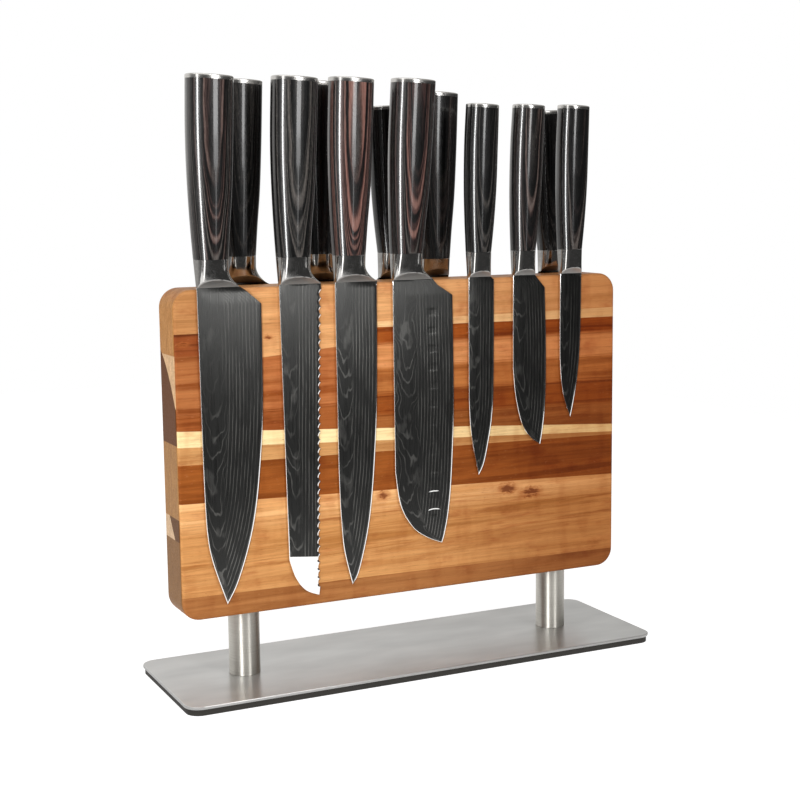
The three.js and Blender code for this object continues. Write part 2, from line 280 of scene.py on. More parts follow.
# Acacia staves, each from its top line down. A line is given by its height at the board's two ends, and span
# is the stave's first and last X. Its top edge is soft millimetres wide.
Stave = namedtuple("Stave", "line span shade deep figure soft", defaults=[0.12])
BOARD_ENDS = (-157.5, 157.5)
WHOLE = (-400, 400)
LEFT = (-400, -120)
RIGHT = (-36, 400)
STAVES = [
    Stave((260.0, 260.0), LEFT, "#bd8552", "#a36d3e", 0.7),
    Stave((226.4, 226.0), LEFT, "#8f4a24", "#4f200c", 1.0),
    Stave((213.0, 213.0), LEFT, "#b06d3e", "#803f18", 0.9),
    Stave((205.0, 230.0), (-120, -36), "#b87040", "#8a4214", 0.8),
    Stave((176.5, 176.0), (-400, -36), "#a05a2c", "#74340f", 0.8, 2.0),
    Stave((227.0, 229.5), RIGHT, "#f0c58f", "#dba76c", 0.3),
    Stave((225.4, 223.0), RIGHT, "#a3541f", "#6a2a0a", 0.8),
    Stave((213.5, 212.5), RIGHT, "#dd9760", "#b8743e", 0.7, 2.5),
    Stave((199.5, 196.5), RIGHT, "#bf7840", "#8f4d20", 0.8, 1.2),
    Stave((183.5, 180.0), RIGHT, "#98501f", "#6d300d", 0.9, 3.0),
    Stave((170.0, 164.0), RIGHT, "#a06030", "#80431a", 0.7, 2.5),
    Stave((167.4, 148.1), WHOLE, "#f8dda6", "#ecc284", 0.4),
    Stave((157.3, 142.8), WHOLE, "#c8935c", "#ac7340", 0.7),
    Stave((146.1, 140.8), WHOLE, "#985422", "#6f340e", 0.7),
    Stave((122.2, 112.9), WHOLE, "#ebb57b", "#cf9156", 0.7),
    Stave((107.0, 104.0), WHOLE, "#cb9056", "#a66a34", 0.8, 7.0),
    Stave((76.0, 88.0), WHOLE, "#d0965c", "#b67a44", 0.7, 9.0),
    Stave((63.1, 59.9), WHOLE, "#aa7040", "#8a5126", 0.6),
]
TOP_STAVE = Stave(None, WHOLE, "#dfa56e", "#c58a54", 0.7)
STAVE_SEED = 3.7
# The back face's grain is this far along from the front's, so that the two differ.
BACK_SHIFT = 41.0
# Knots as (x, z, half length, half height).
KNOTS = [(73, 110, 7, 3.4), (91, 106, 8, 3.6), (-20, 115, 5, 3.2), (-97, 222, 3, 1.6), (-152, 220, 4, 1.6)]
KNOT_SPREAD = -0.75

# Most of a noise's values lie between these two.
NOISE_LOW, NOISE_HIGH = 0.3, 0.7


def colour(code):
    """A linear RGBA colour from an sRGB hex code."""
    parts = [int(code[i : i + 2], 16) / 255 for i in (1, 3, 5)]
    linear = [p / 12.92 if p <= 0.04045 else ((p + 0.055) / 1.055) ** 2.4 for p in parts]
    return (*linear, 1.0)


class Graph:
    """Short calls for building a node tree."""

    def __init__(self, tree):
        tree.nodes.clear()
        self.tree = tree

    def node(self, kind, inputs=None, **settings):
        made = self.tree.nodes.new("ShaderNode" + kind)
        for key, value in settings.items():
            setattr(made, key, value)
        for key, value in (inputs or {}).items():
            if isinstance(value, bpy.types.NodeSocket):
                self.tree.links.new(value, made.inputs[key])
            else:
                made.inputs[key].default_value = value
        return made

    def math(self, operation, a, b=0.0, c=0.0):
        return self.node("Math", {0: a, 1: b, 2: c}, operation=operation).outputs[0]

    def add(self, a, b):
        return self.math("ADD", a, b)

    def minus(self, a, b):
        return self.math("SUBTRACT", a, b)

    def times(self, a, b):
        return self.math("MULTIPLY", a, b)

    def step(self, value, low, high, start=0.0, end=1.0):
        inputs = {"Value": value, "From Min": low, "From Max": high, "To Min": start, "To Max": end}
        return self.node("MapRange", inputs, interpolation_type="SMOOTHSTEP").outputs[0]

    def between(self, noise, start, end):
        """From start to end over a noise's usual values."""
        return self.step(noise, NOISE_LOW, NOISE_HIGH, start, end)

    def mix(self, factor, a, b, blend="MIX"):
        made = self.node("Mix", {0: factor, 6: a, 7: b}, data_type="RGBA", blend_type=blend)
        return made.outputs[2]

    def dim(self, shade, factor):
        return self.mix(1.0, shade, self.vector(factor, factor, factor), "MULTIPLY")

    def vector(self, x=0.0, y=0.0, z=0.0):
        return self.node("CombineXYZ", {0: x, 1: y, 2: z}).outputs[0]

    def split(self, vector):
        return self.node("SeparateXYZ", {0: vector}).outputs[:3]

    def stretched(self, point, scales, shift=None):
        """The point with each coordinate times its scale, and shift added to the second one."""
        x, y, z = (self.times(value, scale) for value, scale in zip(point, scales))
        return self.vector(x, y if shift is None else self.add(y, shift), z)

    def noise(self, vector, detail=3.0, roughness=0.5, distortion=0.0):
        inputs = {"Vector": vector, "Detail": detail, "Roughness": roughness, "Distortion": distortion}
        return self.node("TexNoise", {**inputs, "Scale": 1.0}).outputs["Fac"]

    def grain(self, scales, detail=3.0, roughness=0.5):
        """Noise over the surface, in millimetres times the scales."""
        return self.noise(self.stretched(self.place(), scales), detail, roughness)

    def centred(self, noise):
        return self.minus(noise, 0.5)

    def ramp(self, value, stops):
        """A colour ramp through (place, hex code) stops."""
        made = self.node("ValToRGB", {0: value})
        elements = made.color_ramp.elements
        for place, _ in stops[2:]:
            elements.new(place)
        for element, (place, code) in zip(elements, stops):
            element.position = place
            element.color = colour(code)
        return made.outputs[0]

    def two_tone(self, noise, dark, light):
        return self.ramp(noise, [(NOISE_LOW, dark), (NOISE_HIGH, light)])

    def bump(self, height, strength, distance):
        inputs = {"Height": height, "Strength": strength, "Distance": distance * MM}
        return self.node("Bump", inputs).outputs[0]

    def place(self):
        """The point on the surface in millimetres, in the piece's own frame."""
        point = self.node("TexCoord").outputs["Object"]
        scaled = self.node("VectorMath", {0: point, 3: 1 / MM}, operation="SCALE")
        return self.split(scaled.outputs[0])

    def facing(self):
        """The surface normal's X, Y and Z."""
        return self.split(self.node("NewGeometry").outputs["Normal"])


def shader(name, build):
    """A material whose surface is one Principled shader. build(graph) returns its sockets' values."""
    material = bpy.data.materials.new(name)
    material.use_nodes = True
    graph = Graph(material.node_tree)
    surface = graph.node("BsdfPrincipled", build(graph))
    graph.node("OutputMaterial", {"Surface": surface.outputs[0]})
    return material


def grain_height(g, x, z):
    """The height used by the grain, spread apart round each knot, and how close a knot's core is."""
    spread = z
    core = 0.0
    knot_noise = g.noise(g.stretched((x, 0.0, z), (0.3, 0.0, 0.5)), 3.0, 0.6)
    ragged = g.times(g.centred(knot_noise), 2.6)
    for knot_x, knot_z, half_length, half_height in KNOTS:
        across = g.times(g.minus(x, float(knot_x)), 1 / half_length)
        up = g.times(g.minus(z, float(knot_z)), 1 / half_height)
        bent = g.add(up, ragged)
        far = g.add(g.times(across, across), g.times(bent, bent))
        near = g.math("EXPONENT", g.times(far, -1.0))
        pull = g.times(g.times(up, near), KNOT_SPREAD * half_height)
        spread = g.add(spread, pull)
        core = g.math("MAXIMUM", core, near)
    return spread, core


def stave_mask(g, stave, x, z, wobble):
    """1 below the stave's top line, within its span."""
    left, right = stave.line
    slope = (right - left) / (BOARD_ENDS[1] - BOARD_ENDS[0])
    middle = (left + right) / 2
    above = g.minus(g.math("MULTIPLY_ADD", x, slope, middle), g.add(z, wobble))
    mask = g.step(above, -stave.soft, stave.soft)
    first, last = stave.span
    if first > WHOLE[0]:
        mask = g.times(mask, g.step(x, first - 0.1, first + 0.1))
    if last < WHOLE[1]:
        mask = g.times(mask, g.step(x, last + 0.1, last - 0.1))
    return mask


def stave_layout(g, x, z):
    """Each stave's mask, and a number that differs from stave to stave."""
    waves = g.noise(g.stretched((x, 0.0, z), (0.05, 0.0, 0.1)))
    wobble = g.times(g.centred(waves), 0.3)
    seed = 0.0
    masks = []
    for number, stave in enumerate(STAVES, 1):
        mask = stave_mask(g, stave, x, z, wobble)
        masks.append(mask)
        seed = g.add(g.times(g.minus(1.0, mask), seed), g.times(mask, STAVE_SEED * number))
    return masks, seed


def stave_colours(g, masks, bands):
    """The staves' own colours, each darker in the grain's bands."""

    def own(stave):
        return g.mix(g.times(bands, stave.figure), colour(stave.shade), colour(stave.deep))

    shade = own(TOP_STAVE)
    for stave, mask in zip(STAVES, masks):
        shade = g.mix(mask, shade, own(stave))
    return shade


def stripes(g, rows, outer, inner):
    """A line halfway between each two whole values of rows, which fades from inner to outer."""
    away = g.math("ABSOLUTE", g.centred(g.math("FRACT", rows)))
    return g.step(away, outer, inner)


def contour_lines(g, broad, fine):
    """Thin broken lines that follow the grain."""
    return g.times(stripes(g, g.times(broad, 16.0), 0.1, 0.0), g.step(fine, 0.42, 0.62))


def wood_marks_and_shade(g, point, at, seed, fine, core):
    """What lies over the grain, and a painted shade that darkens the board towards its right end, as (value,
    from, to, strength, colour, blend).
    """
    patch = g.noise(g.stretched(at, (0.035, 0.12, 0.07), seed), 4.0, 0.6)
    fleck = g.noise(g.stretched(at, (0.3, 3.0, 2.6)), 2.0)
    ray = g.noise(g.stretched(at, (0.22, 2.0, 3.6), 7.0), 2.0)
    ripple = g.noise(g.stretched(point, (0.09, 0.0, 0.03), 3.0), 2.0)
    halo = g.times(core, g.step(fine, 0.3, 0.6, 0.5, 1.3))
    return [
        (patch, 0.5, 0.72, 0.4, "#b86a34", "MULTIPLY"),
        (fleck, 0.64, 0.74, 0.35, "#5e2f12", "MIX"),
        (ray, 0.66, 0.78, 0.5, "#e3ae7c", "MIX"),
        (ripple, 0.45, 0.7, 0.22, "#c08a58", "MULTIPLY"),
        (halo, 0.05, 0.6, 0.6, "#a9602f", "MIX"),
        (halo, 0.5, 0.95, 0.8, "#6b2f14", "MIX"),
        # Painted shade: the board darkens from X = -60 to 165, where less light falls on it.
        (point[0], -60.0, 165.0, 0.75, "#b0906f", "MULTIPLY"),
    ]


def acacia(g):
    """Laminated acacia: coloured staves, grain, knots, and block ends on the short sides."""
    x, y, z = g.place()
    shifted = g.math("MULTIPLY_ADD", g.step(y, -0.2, 0.2), BACK_SHIFT, x)
    height, core = grain_height(g, x, z)
    masks, seed = stave_layout(g, x, z)
    at = (shifted, y, height)
    broad = g.noise(g.stretched(at, (0.008, 0.12, 0.16), seed), 3.0, 0.55, 0.6)
    fine = g.noise(g.stretched(at, (0.018, 0.6, 0.9), seed), 5.0, 0.65)
    fibre = g.noise(g.stretched(at, (0.12, 2.0, 4.5)), 3.0, 0.6)
    shade = stave_colours(g, masks, g.step(broad, 0.42, 0.66))
    streak = g.step(fine, 0.36, 0.66, 1.05, 0.91)
    shade = g.dim(shade, g.times(streak, g.between(fibre, 1.06, 0.94)))
    shade = g.mix(g.times(contour_lines(g, broad, fine), 0.35), shade, colour("#824518"))
    for value, low, high, strength, tint, blend in wood_marks_and_shade(g, (x, y, z), at, seed, fine, core):
        shade = g.mix(g.step(value, low, high, 0.0, strength), shade, colour(tint), blend)
    end = g.step(g.math("ABSOLUTE", g.facing()[0]), 0.75, 0.95)
    return {
        "Base Color": g.mix(end, shade, end_grain(g, y, z, fine)),
        "Roughness": g.between(fine, 0.38, 0.5),
        "Specular IOR Level": 0.06,
        "Normal": g.bump(g.add(fine, g.times(fibre, 0.5)), 0.12, 0.25),
    }


def end_grain(g, y, z, fine):
    """The block ends that show on the board's short sides, each from its top line down."""
    rings = g.noise(g.stretched((0.0, y, z), (0.0, 0.5, 0.12)), 3.0, 0.6, 0.8)
    shade = g.mix(g.step(rings, 0.35, 0.65), colour("#c38d55"), colour("#ab763f"))
    back = g.minus(10.0, y)
    curve = g.minus(213.0, g.add(g.times(back, 0.75), g.times(g.times(back, back), 0.025)))
    slant = g.add(g.times(y, 1.4), 105.0)
    low = g.step(z, 112.2, 112.0)
    blocks = [
        (g.step(z, 213.2, 213.0), "#e8c093"),
        (g.step(g.minus(z, curve), 0.2, -0.2), "#5f3514"),
        (g.step(z, 158.2, 158.0), "#ae7f4c"),
        (low, "#623e1e"),
        (g.times(low, g.step(g.minus(z, slant), 0.2, -0.2)), "#dfbd98"),
        (g.step(z, 98.2, 98.0), "#8b643c"),
    ]
    for mask, shown in blocks:
        tone = g.mix(g.step(rings, 0.35, 0.65, 0.0, 0.3), colour(shown), colour("#5f3d1e"))
        shade = g.mix(mask, shade, tone)
    glue = g.math("ABSOLUTE", y)
    shade = g.mix(g.step(glue, 0.25, 0.05, 0.0, 0.35), shade, colour("#6b4526"))
    return g.mix(g.step(fine, 0.35, 0.65, 0.0, 0.2), shade, colour("#5a3a1c"))


def brushed_plate(g):
    scratch = g.grain((0.02, 3.2, 1.0), 4.0, 0.6)
    cloud = g.grain((0.018, 0.05, 0.0), 2.0)
    tone = g.add(g.times(scratch, 0.25), g.times(cloud, 0.75))
    # Painted shade: the plate's sides, which don't face up, get a darker steel colour in place of their dark
    # reflection.
    painted_rim_shade = g.step(g.facing()[2], 0.75, 0.35)
    return {
        "Base Color": g.mix(g.times(painted_rim_shade, 0.65), g.two_tone(tone, "#c4c4c3", "#dadad9"), colour("#858482")),
        "Metallic": 1.0,
        "Roughness": g.between(scratch, 0.28, 0.36),
        "Anisotropic": 0.9,
        "Tangent": g.vector(0.0, 1.0, 0.0),
        "Normal": g.bump(scratch, 0.08, 0.05),
    }


def turned_steel(g):
    scratch = g.grain((0.05, 0.05, 4.0), 4.0, 0.6)
    return {
        "Base Color": g.two_tone(scratch, "#bdbab2", "#d2cfc8"),
        "Metallic": 1.0,
        "Roughness": g.between(scratch, 0.42, 0.5),
        "Anisotropic": 0.92,
        "Anisotropic Rotation": 0.25,
        "Tangent": g.node("Tangent", direction_type="RADIAL", axis="Z").outputs[0],
        "Normal": g.bump(scratch, 0.02, 0.05),
    }


def polished_steel(g):
    """Mirror steel, satin on the bolster's foot, which faces down and is also painted a darker steel as
    painted shade, and softer on the end cap.
    """
    haze = g.grain((0.3, 0.3, 0.6))
    foot = g.step(g.facing()[2], -0.16, -0.32)
    cap = g.step(g.place()[2], 60.0, 90.0, 0.0, 0.12)
    satin = g.math("MAXIMUM", g.times(foot, 0.26), cap)
    return {
        # The downward-facing foot gets a darker steel colour: painted shade.
        "Base Color": g.mix(g.times(foot, 0.75), g.two_tone(haze, "#c3c1be", "#d2d0cd"), colour("#8b8986")),
        "Metallic": 1.0,
        "Roughness": g.add(g.between(haze, 0.08, 0.13), satin),
    }


def uneven_metal(metallic, scales, detail, tones, roughness):
    """A plain metal that one noise makes a little uneven."""

    def build(g):
        grain = g.grain(scales, detail)
        return {
            "Base Color": g.two_tone(grain, *tones),
            "Metallic": metallic,
            "Roughness": g.between(grain, *roughness),
        }

    return build


def rubber(g):
    grain = g.grain((1.5, 1.5, 1.5), 4.0, 0.6)
    return {
        "Base Color": g.two_tone(grain, "#24221f", "#33302c"),
        "Roughness": g.between(grain, 0.6, 0.85),
        "Specular IOR Level": 0.3,
        "Normal": g.bump(grain, 0.3, 0.1),
    }


def layered_lines(g, edge, wave):
    """Thin lines that run along the cutting edge, one every few millimetres."""
    return stripes(g, g.add(g.times(edge, 1 / LINE_PITCH), g.times(wave, 1.5)), 0.17, 0.05)


def arched_lines(g, spine, drop, width, wave, sway):
    """Wide U-shaped lines beside the spine, one every centimetre or so."""
    across = g.minus(spine, g.times(width, g.add(0.2, g.times(sway, 0.45))))
    rise = g.times(g.times(across, across), 0.4)
    level = g.add(g.add(drop, rise), g.times(wave, 60.0))
    return stripes(g, g.times(level, 1 / ARCH_PITCH), 0.13, 0.03)


def blade_pattern(g, knife, edge, spine, drop):
    """How strongly the layers show: lines by the edge, arches and blotches by the spine."""

    def noise_at(along, down, shift=0.0, detail=3.0, roughness=0.5):
        at = g.vector(g.times(spine, along), g.times(drop, down), knife.seed + shift)
        return g.noise(at, detail, roughness)

    width = g.add(edge, spine)
    part = g.math("DIVIDE", spine, g.math("MAXIMUM", width, 1.0))
    wave = g.centred(noise_at(0.06, 0.02, roughness=0.55))
    mixed = g.add(wave, g.times(g.centred(noise_at(0.35, 0.12)), 0.07))
    lines = layered_lines(g, edge, g.times(mixed, 0.6))
    sway = g.centred(g.noise(g.vector(knife.seed, g.times(drop, 0.03), 0.0), 2.0))
    arches = arched_lines(g, spine, drop, width, mixed, sway)
    arches = g.times(arches, g.step(drop, 0.3 * knife.fade, knife.fade, 0.12, 1.0))
    side = g.step(g.add(part, g.times(wave, 0.25)), 0.34, 0.46)
    other_side = g.minus(1.0, side)
    pattern = g.add(g.times(lines, side), g.times(g.times(arches, 0.8), other_side))
    blotch = g.times(g.step(noise_at(0.12, 0.05, 5.0, 2.0), 0.56, 0.66), other_side)
    strength = g.step(noise_at(0.15, 0.04, 9.0), 0.35, 0.6, 0.2, 1.0)
    shown = g.math("MAXIMUM", g.times(pattern, strength), g.times(blotch, 0.4))
    return g.times(shown, g.step(drop, 0.1 * knife.fade, knife.fade, 0.25, 1.0))


def painted_rim_highlights(g):
    """Painted highlights on the upper rims of the lowest hollows, drawn as bright bare steel."""
    x, _, z = g.place()
    side = g.times(g.minus(x, DIMPLE["centre"]), 1 / DIMPLE["half_width"])
    painted_rims = 0.0
    for row in range(HIGHLIGHTED_HOLLOWS):
        below = g.add(z, DIMPLE["first"] - row * DIMPLE["pitch"] - 0.8 * DIMPLE["half_height"])
        arc = g.add(below, g.times(g.times(side, side), 0.9))
        width = g.step(g.math("ABSOLUTE", side), 0.95, 0.6, 0.0, 0.32)
        painted_rims = g.math("MAXIMUM", painted_rims, g.math("LESS_THAN", g.math("ABSOLUTE", arc), width))
    return painted_rims


def bare_steel_and_highlights(g, name, edge, spine, drop):
    """1 where bright steel shows: the bare cutting bevel, the spine, a knife's own bright parts, and painted
    highlights on the santoku's hollow rims.
    """
    bare_and_highlights = g.math("MAXIMUM", g.step(edge, 0.75, 0.6), g.step(spine, 0.56, 0.48))
    if name == DIMPLED:
        # The santoku's hollow rims get painted highlights, drawn as bare steel.
        bare_and_highlights = g.math("MAXIMUM", bare_and_highlights, painted_rim_highlights(g))
    if name == SERRATED:
        past = g.minus(drop, g.math("MULTIPLY_ADD", spine, POLISHED_SLOPE, POLISHED_DROP))
        bare_and_highlights = g.math("MAXIMUM", bare_and_highlights, g.step(past, -0.15, 0.15))
    return bare_and_highlights


def coated_blade(knife):
    """Black coating with a layered pattern over bright steel."""

    def build(g):
        measures = g.node("Attribute", attribute_name="blade", attribute_type="GEOMETRY").outputs["Vector"]
        edge, spine, drop = g.split(measures)
        shown = blade_pattern(g, knife, edge, spine, drop)
        bare_and_highlights = bare_steel_and_highlights(g, knife.name, edge, spine, drop)
        coated = g.minus(1.0, bare_and_highlights)
        coat = g.mix(shown, colour("#393938"), colour("#6f6e6b"))
        satin = g.noise(g.vector(g.times(spine, 3.0), g.times(drop, 0.05), knife.seed))
        relief = g.add(g.times(shown, 0.6), g.times(satin, 0.2))
        return {
            # The bright steel colour also paints the highlights on the santoku's hollow rims.
            "Base Color": g.mix(bare_and_highlights, coat, colour("#f4f3f1")),
            "Metallic": 1.0,
            "Roughness": g.math("MULTIPLY_ADD", g.between(satin, 0.16, 0.24), coated, 0.1),
            "Normal": g.bump(g.times(relief, coated), 0.06, 0.05),
        }

    return build


def layer_shade(g, knife, depth, x, z):
    """The layers' colour at a depth from the blade's plane, the noise it comes from, and how light it is.

    A dark layer shows where the handle is thickest.
    """
    seed, front = knife.seed, max(row[3] for row in knife.size.stations)
    sway = g.noise(g.vector(g.times(x, 0.05), seed, g.times(z, 0.015)), 2.0, 0.5, 0.3)
    stacked = g.add(g.times(depth, 2.7), g.times(z, 0.034))
    layer = g.add(stacked, g.times(g.centred(sway), 3.6))
    tone = g.noise(g.vector(layer, seed, 0.0), 1.5, 0.6)
    veneer = g.noise(g.vector(g.times(layer, 0.2), seed + 20.0, 0.0), 1.0)
    below = g.math("ABSOLUTE", g.minus(depth, front - 0.55))
    warm = g.math("MAXIMUM", g.step(below, 0.6, 0.3), g.step(veneer, 0.45, 0.6, 0.0, 0.7))
    shade = g.mix(g.times(warm, knife.redness), g.ramp(tone, LAYERS), g.ramp(tone, RED_LAYERS))
    core = g.step(depth, front - 0.35, front - 0.12, knife.pale, 0.3 * knife.pale)
    return shade, tone, core


def laminate(knife, plane):
    """Glossy layered wood. Its layers lie parallel to the blade, which is in the plane Y = plane."""

    def build(g):
        x, y, z = g.place()
        depth = g.math("ABSOLUTE", g.minus(y, plane))
        shade, tone, core = layer_shade(g, knife, depth, x, z)
        fibre = g.grain((2.2, 2.2, 0.09), 4.0, 0.7)
        shade = g.dim(shade, g.times(g.between(fibre, 0.65, 1.35), core))
        pore = g.grain((4.5, 4.5, 0.6), 2.0)
        speck = g.times(g.step(pore, 0.6, 0.7), g.step(tone, 0.5, 0.62))
        return {
            "Base Color": g.mix(g.times(speck, 0.4), shade, colour("#8b8079")),
            "Roughness": g.between(fibre, 0.24, 0.34),
            "Specular IOR Level": 0.4,
            "Coat Weight": 1.0,
            "Coat Roughness": 0.06,
            "Normal": g.bump(fibre, 0.03, 0.05),
        }

    return build


def floor_finish(g):
    mottle = g.grain((0.004, 0.004, 1.0), 2.0)
    return {
        "Base Color": g.two_tone(mottle, "#b4b4b4", "#bababa"),
        "Roughness": 0.9,
        "Specular IOR Level": 0.0,
        "Emission Color": colour("#ffffff"),
        "Emission Strength": 0.84,
    }


def mesh_object(name, vertices, faces, material, measures=None):
    """An object from vertices in millimetres, smooth except across sharp creases."""
    mesh = bpy.data.meshes.new(name)
    mesh.from_pydata([[c * MM for c in v] for v in vertices], [], faces)
    mesh.validate()
    if measures:
        attribute = mesh.attributes.new("blade", "FLOAT_VECTOR", "POINT")
        attribute.data.foreach_set("vector", [c for m in measures for c in m])
    mesh.shade_smooth()
    mesh.set_sharp_from_angle(angle=radians(CREASE_DEGREES))
    mesh.materials.append(material)
    made = bpy.data.objects.new(name, mesh)
    bpy.context.scene.collection.objects.link(made)
    return made


def weigh_normals(piece):
    modifier = piece.modifiers.new("weighted", "WEIGHTED_NORMAL")
    modifier.keep_sharp = True


def skin(rings):
    """Vertices and faces of a closed body through rings that all have the same number of points."""
    sides = len(rings[0])
    last = (len(rings) - 1) * sides
    vertices = [point for ring in rings for point in ring]
    faces = []
    for start in range(0, last, sides):
        for j in range(sides):
            k = (j + 1) % sides
            faces.append((start + j, start + k, start + sides + k, start + sides + j))
    faces.append(tuple(reversed(range(sides))))
    faces.append(tuple(range(last, last + sides)))
    return vertices, faces


def rounded_outline(half_x, half_y, corner, steps=10):
    """Points round a rectangle with rounded corners, anticlockwise."""
    points = []
    for quarter, (sx, sy) in enumerate([(1, 1), (-1, 1), (-1, -1), (1, -1)]):
        for i in range(steps + 1):
            angle = (quarter + i / steps) * pi / 2
            x = sx * (half_x - corner) + corner * cos(angle)
            y = sy * (half_y - corner) + corner * sin(angle)
            points.append((x, y))
    return points


def edge_profile(low, high, radius, steps=5):
    """(inset, height) pairs up the side of a slab whose two edges are rounded."""
    turns = [i / steps * pi / 2 for i in range(steps + 1)]
    bottom = [(radius * (1 - sin(t)), low + radius * (1 - cos(t))) for t in turns]
    top = [(radius * (1 - cos(t)), high - radius * (1 - sin(t))) for t in turns]
    return bottom + top


def slab(name, half_x, half_y, corner, low, high, radius, material, upright=False, centre=0.0):
    """A rounded slab between two levels. Upright, its levels are along Y and its outline stands on Z."""
    rings = []
    for inset, level in edge_profile(low, high, radius):
        outline = rounded_outline(half_x - inset, half_y - inset, corner - inset)
        if upright:
            rings.append([(x, -level, centre + z) for x, z in outline])
        else:
            rings.append([(x, y, level) for x, y in outline])
    piece = mesh_object(name, *skin(rings), material)
    weigh_normals(piece)
    return piece


def millimetres(box):
    return [[c / MM for c in corner] for corner in box]


def base_plate(material):
    low, high = millimetres(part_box("base_plate"))
    levels = low[2], high[2]
    piece = slab("brushed_base", high[0], high[1], PLATE_CORNER, *levels, PLATE_EDGE_ROUND, material)
    finish_piece(piece, "stand", "base_steel", "base_plate")


def board(material):
    low, high = millimetres(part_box("front_board"))
    back = millimetres(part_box("back_board"))[1][1]
    half_height = (high[2] - low[2]) / 2
    middle = (high[2] + low[2]) / 2
    sizes = high[0], half_height, BOARD_CORNER, low[1], back, BOARD_EDGE_ROUND
    piece = slab("acacia_board", *sizes, material, upright=True, centre=middle)
    finish_piece(piece, "stand", "board_wood", "front_board", "back_board")


def post(side, material):
    low, high = millimetres(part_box(f"{side}_post"))
    radius = (high[0] - low[0]) / 2
    turns = [2 * pi * i / POST_SIDES for i in range(POST_SIDES)]
    rings = []
    for inset, level in edge_profile(low[2] - POST_OVERLAP, high[2] + POST_OVERLAP, POST_EDGE_ROUND):
        reach = radius - inset
        rings.append([(reach * cos(t), reach * sin(t), level) for t in turns])
    piece = mesh_object(f"{side}_turned_post", *skin(rings), material)
    piece.location.x = (low[0] + high[0]) / 2 * MM
    weigh_normals(piece)
    finish_piece(piece, "stand", "post_steel", f"{side}_post")


def finish_piece(piece, body, slot, *nodes):
    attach(piece, body)
    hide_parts(*nodes)


def spline(points, steps=14):
    """Points along a uniform Catmull-Rom curve through the given ones."""
    ends = [points[0], *points, points[-1]]
    curve = [points[0]]
    for around in zip(ends, ends[1:], ends[2:], ends[3:]):
        for k in range(1, steps + 1):
            t = k / steps
            curve.append(tuple(hermite(b, c, (c - a) / 2, (d - b) / 2, t) for a, b, c, d in zip(*around)))
    return curve


def across_at(line, drop):
    """The distance from the spine line where a line of points sorted by drop passes a given drop."""
    for (x0, d0), (x1, d1) in zip(line, line[1:]):
        if d0 <= drop <= d1:
            part = (drop - d0) / (d1 - d0) if d1 > d0 else 0.0
            return x0 + part * (x1 - x0)
    return line[-1][0] if drop > line[-1][1] else line[0][0]


def blade_lines(name):
    """The back and the edge with its neck, both as points sorted by drop, and the cutting edge alone."""
    outline, edge, neck = ([(float(x), float(d)) for x, d in line] for line in BLADES[name])
    back = [(0.0, 0.0), *spline(outline)]
    cutting = [back[-1], *edge]
    if name != SERRATED:
        cutting = spline(cutting)
    return back, [*cutting, *neck][::-1], cutting


def blade_drops(name, back, right):
    """The rows' distances below the blade's top, closer together near the tip and where detail needs it."""
    tip = back[-1][1]
    step = FINE_ROW_STEP if name in (DIMPLED, SERRATED) else ROW_STEP
    drops = [0.0]
    while drops[-1] < tip - TIP_NEAR:
        drops.append(drops[-1] + max(LEAST_ROW_STEP, min(step, (tip - drops[-1]) / ROWS_TO_TIP)))
    corners = [d for _, d in right if d < HEEL_DROP] if name != SERRATED else []
    kept = [d for d in drops if all(abs(d - c) > HEEL_CLEARANCE for c in corners) and d < tip - TIP_ROW_LIMIT]
    return sorted({0.0, *kept, *corners, tip - TIP_END})


def tooth_cut(name, drop):
    """How far the serrated edge is scooped back at a given drop."""
    if name != SERRATED:
        return 0.0
    start, end = (d for _, d in BLADES[name].edge)
    if not end <= drop <= start:
        return 0.0
    place = (start - drop) / (start - end) * TOOTH_COUNT
    return TOOTH_DEPTH * abs(sin(pi * place)) ** TOOTH_POWER


def nearest(x, drop, line):
    """Distance from a point to a line of points."""
    best = 1e9
    for (x0, d0), (x1, d1) in zip(line, line[1:]):
        dx, dd = x1 - x0, d1 - d0
        long = dx * dx + dd * dd
        part = 0.0 if long == 0 else max(0.0, min(1.0, ((x - x0) * dx + (drop - d0) * dd) / long))
        best = min(best, hypot(x - x0 - part * dx, drop - d0 - part * dd))
    return best


def dimple(name, x, drop):
    """Depth of the hollows at a point of the blade."""
    if name != DIMPLED:
        return 0.0
    row = round((DIMPLE["first"] - drop) / DIMPLE["pitch"])
    if not 0 <= row < DIMPLE["count"]:
        return 0.0
    up = (DIMPLE["first"] - row * DIMPLE["pitch"] - drop) / DIMPLE["half_height"]
    side = (x - DIMPLE["centre"]) / DIMPLE["half_width"]
    if abs(up) >= 1 or abs(side) >= 1:
        return 0.0
    return DIMPLE_DEPTH * (1 - side * side) ** 2 * min(1.0, DIMPLE_WALL * (1 - up * up))


def half_thickness(edge, spine, widest):
    """The blade tapers from its rounded spine to a narrow ground edge."""
    grind = min(1.0, max(0.0, edge - EDGE_BEVEL) / (GRIND_PART * widest))
    half = GRIND_HALF + (BLADE_HALF - GRIND_HALF) * grind
    if edge < EDGE_BEVEL:
        half = EDGE_HALF + (GRIND_HALF - EDGE_HALF) * edge / EDGE_BEVEL
    inward = max(0.0, SPINE_ROUND - spine)
    turned = BLADE_HALF - SPINE_ROUND + sqrt(SPINE_ROUND**2 - inward**2)
    return min(half, turned)


